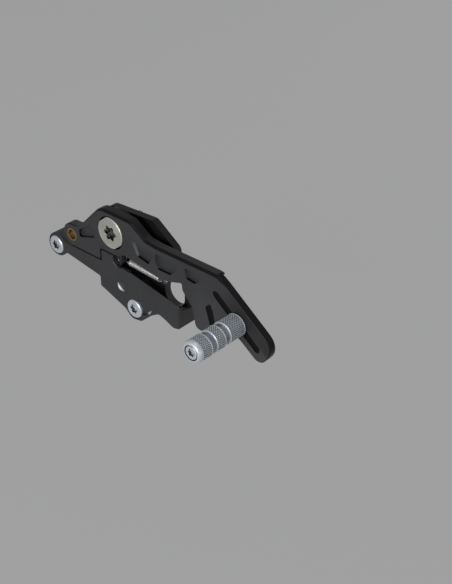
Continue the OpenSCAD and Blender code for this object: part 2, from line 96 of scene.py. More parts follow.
class PedalSizes(bpy.types.PropertyGroup):
    """Sizes of the fine shapes that the frame leaves out."""

    plate_edge: bpy.props.FloatProperty(
        name="Plate edge", description="Rounding of the milled plates' edges",
        default=0.3 * MM, min=0.1 * MM, max=0.6 * MM, unit="LENGTH")
    small_edge: bpy.props.FloatProperty(
        name="Small edge", description="Rounding of the small turned pieces' edges",
        default=0.12 * MM, min=0.05 * MM, max=0.3 * MM, unit="LENGTH")
    knurl_count: bpy.props.IntProperty(
        name="Knurls", description="Points of the knurl round the step",
        default=29, min=20, max=60)
    knurl_depth: bpy.props.FloatProperty(
        name="Knurl depth", description="Depth of the knurl between its points",
        default=0.46 * MM, min=0.1 * MM, max=0.6 * MM, unit="LENGTH")
    pivot_pitch: bpy.props.FloatProperty(
        name="Pivot thread pitch", description="Pitch of the pivot bolt's thread",
        default=1.5 * MM, min=1.0 * MM, max=2.0 * MM, unit="LENGTH")
    screw_pitch: bpy.props.FloatProperty(
        name="Screw thread pitch", description="Pitch of the mounting screws' threads",
        default=1.25 * MM, min=0.8 * MM, max=1.5 * MM, unit="LENGTH")
    wire: bpy.props.FloatProperty(
        name="Spring wire", description="Diameter of the spring's wire",
        default=1.1 * MM, min=0.8 * MM, max=1.3 * MM, unit="LENGTH")
    turns: bpy.props.IntProperty(
        name="Spring turns", description="Turns of the spring between its hooks",
        default=25, min=12, max=32)


class PedalColours(bpy.types.PropertyGroup):
    """Colours of the finishes."""

    anodised: bpy.props.FloatVectorProperty(
        name="Anodised", description="Satin black of the arm and carrier",
        subtype="COLOR", size=3, default=(0.038, 0.0385, 0.041), min=0, max=1)
    # Painted shade: the near-black laid on chamfers, edges and walls of recesses that lie in shade.
    cut: bpy.props.FloatVectorProperty(
        name="Cut edge", description="Smooth, deep black of the edges milled last",
        subtype="COLOR", size=3, default=(0.0028, 0.003, 0.004), min=0, max=1)
    alloy: bpy.props.FloatVectorProperty(
        name="Alloy", description="Blasted bare alloy of the step",
        subtype="COLOR", size=3, default=(0.44, 0.475, 0.51), min=0, max=1)
    zinc: bpy.props.FloatVectorProperty(
        name="Zinc", description="Zinc plating of the pivot bolt",
        subtype="COLOR", size=3, default=(0.66, 0.655, 0.60), min=0, max=1)
    steel: bpy.props.FloatVectorProperty(
        name="Steel", description="Plain steel of screws and pins",
        subtype="COLOR", size=3, default=(0.46, 0.49, 0.52), min=0, max=1)
    spring: bpy.props.FloatVectorProperty(
        name="Spring", description="Pale steel of the spring's wire",
        subtype="COLOR", size=3, default=(0.68, 0.68, 0.66), min=0, max=1)
    bronze: bpy.props.FloatVectorProperty(
        name="Bronze", description="Bearing bronze of the bushes",
        subtype="COLOR", size=3, default=(0.40, 0.24, 0.11), min=0, max=1)
    rubber: bpy.props.FloatVectorProperty(
        name="Rubber", description="Black rubber of seals and buffer",
        subtype="COLOR", size=3, default=(0.018, 0.018, 0.019), min=0, max=1)
    backdrop: bpy.props.FloatVectorProperty(
        name="Backdrop", description="Plain grey behind the pedal",
        subtype="COLOR", size=3, default=(0.342, 0.342, 0.342), min=0, max=1)


def sizes():
    return bpy.context.scene.pedal_sizes


def colour(name):
    return tuple(getattr(bpy.context.scene.pedal_colours, name))


def shade(tone, factor):
    return tuple(min(1.0, c * factor) for c in tone)


# Places: the frame's origin lies on the pivot's axis, so x and z are distances from it

def middle(node):
    low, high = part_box(node)
    return (low + high) / 2


def from_axis(p, axis):
    """How far a point lies from a line across the pedal."""
    return math.hypot(p.x - axis.x, p.z - axis.z)


# Finishes

class Term:
    """A number from a shader socket, written into sums and products."""

    def __init__(self, finish, socket):
        self.finish = finish
        self.socket = socket

    def _with(self, operation, first, second):
        return self.finish.node("ShaderNodeMath", {"operation": operation}, {0: first, 1: second})

    def __add__(self, other):
        return self._with("ADD", self, other)

    __radd__ = __add__

    def __sub__(self, other):
        return self._with("SUBTRACT", self, other)

    def __rsub__(self, other):
        return self._with("SUBTRACT", other, self)

    def __mul__(self, other):
        return self._with("MULTIPLY", self, other)

    __rmul__ = __mul__


class Finish:
    """A material built up node by node on the piece's own coordinates."""

    def __init__(self, name):
        self.material = bpy.data.materials.new(name)
        self.material.use_nodes = True
        self.tree = self.material.node_tree
        self.shader = self.tree.nodes["Principled BSDF"]
        self.place = self.node("ShaderNodeTexCoord", {}, {}, "Object")

    def node(self, kind, settings, sockets, output=0):
        """Adds a node: first its settings, then the values or links of its sockets."""
        made = self.tree.nodes.new(kind)
        for key, value in settings.items():
            setattr(made, key, value)
        for key, value in sockets.items():
            self.join(made.inputs[key], value)
        return Term(self, made.outputs[output])

    def join(self, socket, value):
        if isinstance(value, Term):
            self.tree.links.new(value.socket, socket)
        elif isinstance(value, tuple) and len(value) == 3 and socket.type == "RGBA":
            socket.default_value = (*value, 1)
        else:
            socket.default_value = value

    def noise(self, scale, detail=2.0, stretch=(1, 1, 1), roughness=0.5):
        place = self.node("ShaderNodeMapping", {}, {"Vector": self.place, "Scale": stretch})
        return self.node("ShaderNodeTexNoise", {}, {
            "Vector": place, "Scale": scale, "Detail": detail, "Roughness": roughness}, "Fac")

    def span(self, value, low, high, to_low, to_high):
        return self.node("ShaderNodeMapRange", {"clamp": True}, {
            "Value": value, "From Min": low, "From Max": high, "To Min": to_low, "To Max": to_high})

    def spread(self, noise, to_low=0, to_high=1, low=0.3, high=0.7):
        """The middle of a noise's range, spread between two values."""
        return self.span(noise, low, high, to_low, to_high)

    def mix(self, factor, first, second):
        return self.node("ShaderNodeMix", {"data_type": "RGBA"},
                         {0: factor, 6: first, 7: second}, 2)

    def between(self, noise, tone, low, high):
        """A colour that varies with a noise between two shades of it."""
        return self.mix(self.spread(noise), shade(tone, low), shade(tone, high))

    def rise(self, direction, start, end, strength=1):
        """Grows from 0 to a strength between two places along a direction."""
        along = self.node("ShaderNodeVectorMath", {"operation": "DOT_PRODUCT"}, {
            0: self.place, 1: tuple(direction)}, "Value")
        return self.span(along, start, end, 0, strength)

    def away(self, x, z):
        """How far a point lies from a line across the pedal."""
        flat = self.node("ShaderNodeMapping", {}, {
            "Vector": self.place, "Location": (-x, 0, -z), "Scale": (1, 0, 1)})
        return self.node("ShaderNodeVectorMath", {"operation": "LENGTH"}, {0: flat}, "Value")

    def bump(self, height, distance, strength=1.0):
        return self.node("ShaderNodeBump", {}, {
            "Height": height, "Distance": distance, "Strength": strength})

    def set(self, **sockets):
        for key, value in sockets.items():
            name = "Specular IOR Level" if key == "specular" else key.replace("_", " ").title()
            self.join(self.shader.inputs[name], value)
        return self.material


# Pure black, laid as painted shade.
BLACK = (0, 0, 0)
DYED_METALLIC = 0.35
DYED_ROUGHNESS = (0.42, 0.52)


def anodised_look(f, tones, bare=None):
    """Satin black: each tone is a mask and the colour it lays on; bare lays the alloy's colour,
    used for painted highlights.
    """
    base = colour("anodised")
    cloud = f.noise(45, 3)
    grain = f.noise(2600, 2)
    black = f.mix(f.spread(grain, 0, 0.5, low=0.35, high=0.75),
                  f.between(cloud, base, 0.86, 1.14), shade(base, 1.5))
    metallic = DYED_METALLIC
    for mask, tone in tones:
        black = f.mix(mask, black, tone)
    if bare is not None:
        black = f.mix(bare, black, shade(colour("alloy"), 1.05))
        metallic = f.span(bare, 0, 1, DYED_METALLIC, 0.5)
    return f.set(
        base_color=black,
        metallic=metallic,
        roughness=f.spread(cloud, *DYED_ROUGHNESS) + f.spread(grain, -0.04, 0.04),
        normal=f.bump(grain, 0.02 * MM, 0.6))


def arm_finish(face, slot, along, across):
    """The arm's black, with painted shade over the slot and behind the hub's top, and painted light
    on the leg.
    """
    f = Finish("anodised_arm")
    base = colour("anodised")
    slot_line, slot_middle = slot.dot(across), slot.dot(along)
    # Painted shade over the slot and behind the hub's top; painted light low on the leg.
    slot_shade = (f.rise(across, slot_line + 2.5 * MM, slot_line + 4.5 * MM, 0.8)
                 * f.rise(along, slot_middle - 26 * MM, slot_middle - 12 * MM))
    leg = f.rise(X, 80 * MM, 92 * MM, 0.75) * f.rise(Z, -12 * MM, -22 * MM)
    hub_top_shade = f.rise(Y, face + 0.4 * MM, face + 1.4 * MM, 0.92) * f.rise(Z, 5 * MM, 10 * MM)
    return anodised_look(f, (
        (leg, shade(base, 1.6)), (slot_shade, shade(base, 0.5)), (hub_top_shade, BLACK)))


def carrier_finish(face, screw):
    """The carrier's black, with painted highlights in the alloy's colour on the lower rims of two
    hollows, and painted shade on its lug.
    """
    f = Finish("anodised_rubbed")

    def crescent(centre, inner, outer, widest, reach):
        """Part of a ring that narrows from its widest place; places are x and z from the screw."""
        soft = 0.3 * MM
        r, off = (f.away(screw.x + x * MM, screw.z + z * MM) for x, z in (centre, widest))
        narrow = f.span(off, 0, reach, 0, 0.5 * (outer - inner))
        return (f.span(r - narrow, inner - soft, inner + soft, 0, 1)
                * f.span(r + narrow, outer - soft, outer + soft, 1, 0)
                * f.span(off, 0.8 * reach, reach, 1, 0))

    near_face = f.rise(Y, face + 4 * MM, face + 3 * MM)
    # Painted highlights in the alloy's colour on the lower rims of the two hollows.
    hollow = crescent((-11.8, 17.5), 5 * MM, 7.2 * MM, widest=(-15.9, 11.9), reach=5.6 * MM)
    scoop = crescent((10.7, 9.6), 7.6 * MM, 9.6 * MM, widest=(16.3, 3.3), reach=4.4 * MM)
    # Painted shade: black laid high on the lug, behind the arm.
    lug = f.rise(Y, face + 12 * MM, face + 13 * MM, 0.85) * f.rise(Z, -14 * MM, -6 * MM)
    return anodised_look(f, ((lug, BLACK),), bare=(hollow + scoop) * near_face)


def painted_shade_finish():
    """Painted shade: a smooth, nearly black copy of the anodising for faces that lie in shade."""
    f = Finish("anodised_cut")
    lines = f.noise(900, 2, stretch=(1, 0.08, 1))
    return f.set(
        base_color=f.between(f.noise(70, 2), colour("cut"), 1, 1.7),
        specular=0.2,
        roughness=f.spread(lines, 0.3, 0.4),
        normal=f.bump(lines, 0.006 * MM, 0.5))


def painted_highlight_wall_finish():
    """Painted highlight: a pale tone for light caught on a pocket's rear wall."""
    f = Finish("bright_wall")
    cloud = f.noise(400, 2)
    return f.set(
        base_color=f.between(cloud, colour("steel"), 0.55, 0.75),
        metallic=0.2,
        roughness=f.spread(cloud, 0.3, 0.42))


def painted_light_wall_finish():
    """Painted light: a lighter copy of the anodising for the pockets' steep walls, lifting the
    shade in the pockets.
    """
    f = Finish("pocket_wall")
    cloud = f.noise(300, 2)
    return f.set(
        base_color=f.between(cloud, colour("anodised"), 2.2, 2.8),
        metallic=DYED_METALLIC,
        roughness=f.spread(cloud, *DYED_ROUGHNESS))


def worn_edge_finish():
    """The plates' rounded edges, where the dye is rubbed thin in patches."""
    f = Finish("anodised_edge")
    base = colour("anodised")
    patch = f.noise(420, 4, roughness=0.65)
    worn = f.span(patch + f.noise(60, 2) * 0.35, 0.72, 0.86, 0, 1)
    return f.set(
        base_color=f.mix(worn, shade(base, 0.9), shade(base, 1.7)),
        metallic=f.span(worn, 0, 1, DYED_METALLIC, 0.6),
        roughness=f.span(worn, 0, 1, 0.46, 0.4),
        normal=f.bump(patch, 0.02 * MM, 0.5))


def knurled_finish(centre, r, depth):
    """Blasted alloy, with painted shade between the knurl's points."""
    f = Finish("knurled_alloy")
    base = colour("alloy")
    height = f.span(f.away(centre.x, centre.z), r - 0.95 * depth, r - 0.4 * depth, 0, 1)
    grain = f.noise(1700, 3)
    point_tone = f.mix(f.spread(grain, 0, 0.6, low=0.35), shade(base, 1.3), shade(base, 1.1))
    return f.set(
        # Painted shade: darker down in the knurl's valleys.
        base_color=f.mix(height, shade(base, 0.18), point_tone),
        metallic=0.5,
        roughness=f.span(height, 0, 1, 0.75, 0.5),
        normal=f.bump(grain, 0.02 * MM, 0.7))


def bare_metal_finish(name, tone, rough, grain_scale, stain, metallic):
    """Metal in its own colour, stained in soft clouds and finely grained."""
    f = Finish(name)
    cloud = f.noise(90, 3)
    grain = f.noise(grain_scale, 3)
    stained = f.between(cloud, tone, 1 - stain, 1 + stain * 0.6)
    return f.set(
        base_color=f.mix(f.spread(grain, 0, 0.45, low=0.35), stained, shade(tone, 0.82)),
        metallic=metallic,
        roughness=f.spread(cloud, rough - 0.05, rough + 0.07),
        normal=f.bump(grain, 0.015 * MM, 0.7))


def rubber_finish():
    f = Finish("rubber")
    grain = f.noise(1500, 3)
    return f.set(
        base_color=f.between(grain, colour("rubber"), 0.8, 1.5),
        roughness=f.spread(grain, 0.66, 0.84),
        normal=f.bump(grain, 0.04 * MM, 0.8))


# Colour, shade of it, roughness, scale of the grain, stain and metallic of each bare metal
METALS = {
    # The bright alloy is painted highlight on the step's rims and tip; the turned alloy is real
    # turned metal, partly darkened as painted shade.
    "alloy_bright": ("alloy", 1.5, 0.42, 1500, 0.06, 0.5),
    "alloy_turned": ("alloy", 0.8, 0.3, 900, 0.08, 1.0),
    "zinc": ("zinc", 1, 0.38, 1400, 0.14, 0.85),
    # Painted shade in the pivot bolt's driver recess.
    "zinc_recess": ("zinc", 0.2, 0.3, 900, 0.25, 1.0),
    "steel": ("steel", 1, 0.32, 1800, 0.1, 1.0),
    "steel_bright": ("steel", 1.5, 0.34, 1500, 0.08, 0.6),
    # Painted shade in the screws' driver recesses and round the step screw's head.
    "recess": ("steel", 0.3, 0.22, 900, 0.2, 1.0),
    "spring_wire": ("spring", 1, 0.36, 1200, 0.1, 0.55),
    "bronze": ("bronze", 1, 0.38, 1200, 0.18, 1.0),
}
OTHER_FINISHES = {
    "edge": worn_edge_finish,
    "cut": painted_shade_finish,
    "bright_wall": painted_highlight_wall_finish,
    "pocket_wall": painted_light_wall_finish,
    "rubber": rubber_finish,
}
MADE = {}


def finish(name):
    """A finish by name, made once."""
    if name not in MADE:
        if name in METALS:
            tone, factor, *look = METALS[name]
            MADE[name] = bare_metal_finish(name, shade(colour(tone), factor), *look)
        else:
            MADE[name] = OTHER_FINISHES[name]()
    return MADE[name]


# Mesh work

WELD = 0.002 * MM


def lone(obj):
    """Selects one object alone."""
    if bpy.context.mode != "OBJECT":
        bpy.ops.object.mode_set(mode="OBJECT")
    bpy.ops.object.select_all(action="DESELECT")
    obj.select_set(True)
    bpy.context.view_layer.objects.active = obj


def editing(obj, kind="VERT", action="DESELECT"):
    """Opens one object in edit mode with nothing or all of it selected."""
    lone(obj)
    bpy.ops.object.mode_set(mode="EDIT")
    bpy.ops.mesh.select_mode(type=kind)
    bpy.ops.mesh.select_all(action=action)


def done():
    bpy.ops.object.mode_set(mode="OBJECT")


def pick_points(obj, test):
    """Selects the points that pass the test, and leaves the piece in edit mode."""
    editing(obj)
    done()
    for v in obj.data.vertices:
        v.select = bool(test(v.co))
    bpy.ops.object.mode_set(mode="EDIT")


def placed(obj):
    """Puts an object's place, turn and scale into its mesh."""
    lone(obj)
    bpy.ops.object.transform_apply(location=True, rotation=True, scale=True)


def modified(obj, kind, **settings):
    """Adds a modifier and applies it."""
    lone(obj)
    made = obj.modifiers.new(kind.title(), kind)
    for key, value in settings.items():
        setattr(made, key, value)
    bpy.ops.object.modifier_apply(modifier=made.name)


def joined(first, *others):
    lone(first)
    for o in others:
        o.select_set(True)
    bpy.ops.object.join()
    return first


def outward(obj):
    """Turns all faces outwards."""
    editing(obj, action="SELECT")
    bpy.ops.mesh.normals_make_consistent(inside=False)
    done()


def ring(radius, vertices, place, turn=(0, 0, 0)):
    """A circle of points to start a piece from."""
    bpy.ops.object.select_all(action="DESELECT")
    bpy.ops.mesh.primitive_circle_add(
        vertices=vertices, radius=radius, location=place, rotation=turn)
    return bpy.context.active_object


def cad_copy(node):
    """A merged copy of a node's solid, with its flat faces whole again."""
    lone(frame["nodes"][node])
    bpy.ops.object.duplicate()
    obj = bpy.context.active_object
    bpy.ops.object.parent_clear(type="CLEAR_KEEP_TRANSFORM")
    editing(obj, action="SELECT")
    bpy.ops.mesh.remove_doubles(threshold=WELD)
    bpy.ops.mesh.dissolve_limited(angle_limit=math.radians(0.6))
    done()
    return obj


def soften(obj, width, material=-1):
    """Rounds every sharp edge."""
    editing(obj, "EDGE")
    bpy.ops.mesh.edges_select_sharp(sharpness=math.radians(30))
    bpy.ops.mesh.bevel(offset=width, offset_type="OFFSET", segments=2, profile=0.5,
                       clamp_overlap=True, material=material)
    done()


def smooth(obj, angle=35):
    """Shades a piece smoothly up to an angle, and keeps large faces flat between rounded edges."""
    lone(obj)
    bpy.ops.object.shade_smooth_by_angle(angle=math.radians(angle))
    modified(obj, "WEIGHTED_NORMAL", keep_sharp=True)


def named(obj, name, materials):
    """Names a piece and gives it its materials."""
    obj.name = name
    obj.data.name = name
    obj.data.materials.clear()
    for m in materials:
        obj.data.materials.append(m)


def settle(obj, name, body, materials):
    """Finishes a piece in its place, and lets it ride on its body."""
    placed(obj)
    named(obj, name, materials)
    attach(obj, body)


def dressed(node, name, body, slot, width, *materials):
    """A node's solid with rounded edges, in its materials: the second, if any, is for the edges."""
    obj = cad_copy(node)
    soften(obj, width, material=1 if len(materials) > 1 else -1)
    settle(obj, name, body, materials)
    smooth(obj)
    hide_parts(node)
    return obj


def paint(obj, index, test):
    """Gives the material at an index to the faces whose middle and direction pass the test."""
    for face in obj.data.polygons:
        if test(face.center, face.normal):
            face.material_index = index


def painted_recess_shade(obj, axis, r, deep, bright_floor=True):
    """Lays painted shade, the second material, in a driver recess: on all but its floor, or all but
    its lit walls.
    """
    top = min(v.co.y for v in obj.data.vertices)
    lip, floor_facing, lit_facing = 0.1 * MM, -0.5, 0.75

    def is_dark(c, n):
        if not top + lip < c.y < top + deep or from_axis(c, axis) > r:
            return False
        return n.y > floor_facing if bright_floor else n.x < lit_facing

    paint(obj, 1, is_dark)


def threaded(obj, axis, start, end, crest, pitch):
    """Turns a plain shank down to its thread's root and winds the thread's ridge round it."""
    depth, foot, steps_per_turn, near = 0.61 * pitch, 0.47 * pitch, 28, 0.05 * MM
    root = crest - depth
    pick_points(obj, lambda p: p.y > start - near and abs(from_axis(p, axis) - crest) < near)
    k = root / crest
    bpy.ops.transform.resize(value=(k, 1, k), center_override=(axis.x, start, axis.z))
    done()
    ridge = ring(MM, 4, (axis.x, start + pitch, axis.z))
    bpy.ops.object.mode_set(mode="EDIT")
    bpy.ops.mesh.select_all(action="SELECT")
    bpy.ops.transform.resize(value=(depth / MM, foot / MM, 1))
    bpy.ops.transform.translate(value=(root, 0, 0))
    done()
    turns = (end - start - 2 * pitch) / pitch
    steps = round(steps_per_turn * turns)
    modified(ridge, "SCREW", axis="Y", angle=2 * math.pi * turns, screw_offset=pitch * turns,
             steps=steps, render_steps=steps)
    editing(ridge, action="SELECT")
    bpy.ops.mesh.fill_holes(sides=4)
    done()
    placed(ridge)
    outward(ridge)
    return joined(obj, ridge)


def turned(centre, profile, sides):
    """A turned piece across the pedal, drawn out ring by ring: pairs of radius and level."""
    (r, y), rest = profile[0], profile[1:]
    obj = ring(r, sides, (centre.x, y, centre.z), (math.radians(90), 0, 0))
    placed(obj)
    editing(obj, "EDGE", "SELECT")
    for r_next, y_next in rest:
        bpy.ops.mesh.extrude_region_move(TRANSFORM_OT_translate={"value": (0, y_next - y, 0)})
        k = r_next / r
        bpy.ops.transform.resize(value=(k, 1, k), center_override=(centre.x, y_next, centre.z))
        r, y = r_next, y_next
    done()
    return obj


class PEDAL_OT_arm(bpy.types.Operator):
    """Makes the milled arm with its rounded edges"""

    bl_idname = "pedal.arm"
    bl_label = "Arm"

    def execute(self, context):
        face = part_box("pedal_arm")[0].y
        slot = middle("slot_nut")
        along = next(Vector(j["axis"]) for j in frame["joints"] if j["name"] == "step_slide")
        across = Vector((-along.z, 0, along.x))
        obj = dressed("pedal_arm", "arm_plate", "arm", "black_anodised", sizes().plate_edge,
                      arm_finish(face, slot, along, across),
                      *map(finish, ("edge", "cut", "bright_wall", "pocket_wall")))
        cut, bright_wall, pocket_wall = 2, 3, 4
        chamfer_back, pocket_back = face + 2.1 * MM, face + 2.3 * MM
        slot_half, plate_half = 4 * MM, 8 * MM
        plate_start, front_start = 100 * MM, 107 * MM

        def is_painted_shade(c, n):
            """Painted shade on the chamfer, the front edge, the walls of slot and window, and the
            lower walls of the pockets.
            """
            if abs(n.y) > 0.9:
                return False
            place = (c - slot).dot(across)
            facing_up = n.z > 0.2 or (c.x > front_start - MM and n.dot(along) > 0.2)
            chamfer = n.y < -0.06 and c.y < chamfer_back and facing_up
            front_edge = (c.x > front_start and abs(place) > plate_half
                          and (n.dot(across) > 0.5 or n.dot(along) > 0.3))
            in_slot = abs(place) < slot_half and c.x > plate_start
            in_window = 95 * MM < c.x < 111 * MM and -43 * MM < c.z < -17 * MM
            in_pocket = c.y < pocket_back and abs(n.y) < 0.3 and n.z > 0.2
            return chamfer or front_edge or in_slot or in_window or in_pocket

        def rear_walls(first, last, lowest, steep):
            """Tests for the pockets' rear walls between two places along the bar."""
            return lambda c, n: (c.y < pocket_back and n.x > steep
                                 and first < c.x < last and c.z > lowest)

        # Painted shade on the faces that lie in shade.
        paint(obj, cut, is_painted_shade)
        # Painted highlight on the first pocket's rear wall.
        paint(obj, bright_wall, rear_walls(20 * MM, 32 * MM, -10 * MM, 0.8))
        # Painted light on the other pockets' rear walls.
        paint(obj, pocket_wall, rear_walls(40 * MM, 92 * MM, -9 * MM, 0.75))
        return {"FINISHED"}


class PEDAL_OT_carrier(bpy.types.Operator):
    """Makes the milled carrier with its rounded edges"""

    bl_idname = "pedal.carrier"
    bl_label = "Carrier"

    def execute(self, context):
        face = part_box("carrier_bracket")[0].y
        dressed("carrier_bracket", "carrier_block", "carrier", "black_anodised", sizes().plate_edge,
                carrier_finish(face, middle("front_screw")), finish("edge"))
        return {"FINISHED"}


class PEDAL_OT_small_parts(bpy.types.Operator):
    """Makes the bushes, seals, pins, sleeves, washers, nut, buffer and the step's screw"""

    bl_idname = "pedal.small_parts"
    bl_label = "Small parts"

    def execute(self, context):
        edge = sizes().small_edge
        for node, body, slot, look in (
                ("pivot_bush_outer", "arm", "bronze", "bronze"),
                ("pivot_bush_inner", "arm", "bronze", "bronze"),
                ("pivot_seal_outer", "arm", "black_rubber", "rubber"),
                ("pivot_seal_inner", "arm", "black_rubber", "rubber"),
                ("push_rod_bush", "arm", "bronze", "bronze"),
                ("arm_spring_pin", "arm", "screw_steel", "steel"),
                ("carrier_spring_pin", "carrier", "screw_steel", "steel"),
                ("stop_buffer", "carrier", "black_rubber", "rubber"),
                ("front_sleeve", "carrier", "screw_steel", "steel"),
                ("rear_sleeve", "carrier", "screw_steel", "steel"),
                ("step_screw_washer", "step", "screw_steel", "steel"),
                ("step_seat_ring", "step", "screw_steel", "steel"),
                ("slot_nut", "step", "screw_steel", "steel")):
            dressed(node, node + "_dressed", body, slot, edge, finish(look))
        screw = dressed("step_screw", "step_screw_dressed", "step", "screw_steel", edge,
                        finish("steel_bright"), finish("recess"))
        axis, top = middle("step_screw"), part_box("step_screw")[0].y
        recess_r, recess_deep, rim_r = 3.4 * MM, 3.4 * MM, 5.15 * MM
        paint(screw, 0, lambda c, n: True)
        # Painted shade in the driver recess, and round the head's rim where it sits in its seat.
        painted_recess_shade(screw, axis, recess_r, recess_deep)
        paint(screw, 1, lambda c, n: c.y < top + MM and from_axis(c, axis) > rim_r)
        return {"FINISHED"}


class PEDAL_OT_bolts(bpy.types.Operator):
    """Makes the pivot bolt and the two mounting screws with their threads"""

    bl_idname = "pedal.bolts"
    bl_label = "Bolts"

    def execute(self, context):
        s = sizes()
        carrier_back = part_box("carrier_bracket")[1].y
        recess_deep = 4.8 * MM
        zinc, steel = ("zinc", "zinc_recess"), ("steel_bright", "recess")
        for node, thread_r, pitch, slot, looks, recess_r in (
                ("pivot_bolt", 6 * MM, s.pivot_pitch, "zinc_steel", zinc, 6.75 * MM),
                ("front_screw", 4 * MM, s.screw_pitch, "screw_steel", steel, 4.35 * MM),
                ("rear_screw", 4 * MM, s.screw_pitch, "screw_steel", steel, 4.35 * MM)):
            obj = cad_copy(node)
            soften(obj, s.small_edge)
            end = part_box(node)[1].y
            obj = threaded(obj, middle(node), carrier_back, end - pitch, thread_r, pitch)
            settle(obj, node + "_dressed", "carrier", [finish(look) for look in looks])
            # Painted shade in the driver recess.
            painted_recess_shade(obj, middle(node), recess_r, recess_deep, bright_floor=looks == steel)
            smooth(obj)
            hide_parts(node)
        return {"FINISHED"}


class PEDAL_OT_step(bpy.types.Operator):
    """Makes the knurled step"""

    bl_idname = "pedal.step"
    bl_label = "Step"

    def execute(self, context):
        s = sizes()
        low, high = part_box("step_peg")
        centre = (low + high) / 2
        tip, base = low.y, high.y
        r = (high.x - low.x) / 2
        groove_r, groove_long, rounding = 7.7 * MM, 4.5 * MM, 0.4 * MM
        first_long, second_long, tip_long, tip_flat_r = 15.5 * MM, 9.3 * MM, 3.6 * MM, 6.7 * MM
        seat_r, seat_deep, hole_r, base_hole_r = 6.05 * MM, 4.6 * MM, 3.2 * MM, 3.4 * MM
        rim_r, plain = r - rounding - 0.05 * MM, 0.35 * MM
        second = base - first_long - groove_long
        third = second - second_long - groove_long
        bands = [(base, base - first_long), (second, second - second_long), (third, tip + tip_long)]
        columns = 4 * s.knurl_count
        row = 2 * math.pi * r / columns

        profile, grids = [(base_hole_r, base)], []
        for start, end in bands:
            last = end == bands[-1][1]
            if start < base:
                profile.append((groove_r, start))
            profile += [(rim_r, start), (r, start - rounding)]
            top = start - rounding - plain
            bottom = end + 0.2 * MM if last else end + rounding + plain
            rows = round((top - bottom) / row)
            grids.append((top, bottom, rows))
            profile += [(r, top + (bottom - top) * i / rows) for i in range(rows + 1)]
            if not last:
                profile += [(r, end + rounding), (rim_r, end), (groove_r, end)]
        for degrees in range(0, 91, 15):
            turn = math.radians(degrees)
            profile.append((tip_flat_r + (r - tip_flat_r) * math.cos(turn),
                            tip + tip_long * (1 - math.sin(turn))))
        seat = tip + seat_deep
        profile += [(seat_r, tip), (seat_r, seat), (hole_r, seat), (hole_r, base)]
        obj = turned(centre, profile, columns)

        def sunk(p):
            """How deep a point lies in the crossing grooves of the knurl: 0, 1 or 2 halves."""
            if abs(from_axis(p, centre) - r) > 0.02 * MM:
                return 0
            column = round(math.atan2(p.z - centre.z, p.x - centre.x) / (2 * math.pi) * columns)
            for top, bottom, rows in grids:
                place = (top - p.y) / (top - bottom) * rows
                if -0.01 < place < rows + 0.01:
                    i = round(place)
                    if not 0 < i < rows:
                        return 0
                    return 2 - min(abs((i + column + 2) % 4 - 2), abs((i - column + 2) % 4 - 2))
            return 0

        points = obj.data.vertices
        deep = {halves: [v.index for v in points if sunk(v.co) == halves] for halves in (1, 2)}
        for halves, chosen in deep.items():
            editing(obj)
            done()
            for i in chosen:
                obj.data.vertices[i].select = True
            bpy.ops.object.mode_set(mode="EDIT")
            k = 1 - halves / 2 * s.knurl_depth / r
            bpy.ops.transform.resize(value=(k, 1, k), center_override=tuple(centre))
            done()
        outward(obj)
        settle(obj, "step_knurled", "step", (
            knurled_finish(centre, r, s.knurl_depth),
            finish("alloy_bright"), finish("alloy_turned")))

        def is_plain(c, n):
            return not any(bottom < c.y < top for top, bottom, _ in grids)

        def is_turned(c, n):
            inside = from_axis(c, centre) < groove_r + 0.1 * MM and c.y > tip + MM
            return is_plain(c, n) and (inside or n.y > 0.2 or c.y > base - 0.8 * MM)

        # The plain faces get the lighter alloy, painted highlight on the rims and tip; the turned
        # faces get the darker one, partly painted shade.
        paint(obj, 1, is_plain)
        paint(obj, 2, is_turned)
        smooth(obj, 28)
        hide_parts("step_peg")
        return {"FINISHED"}


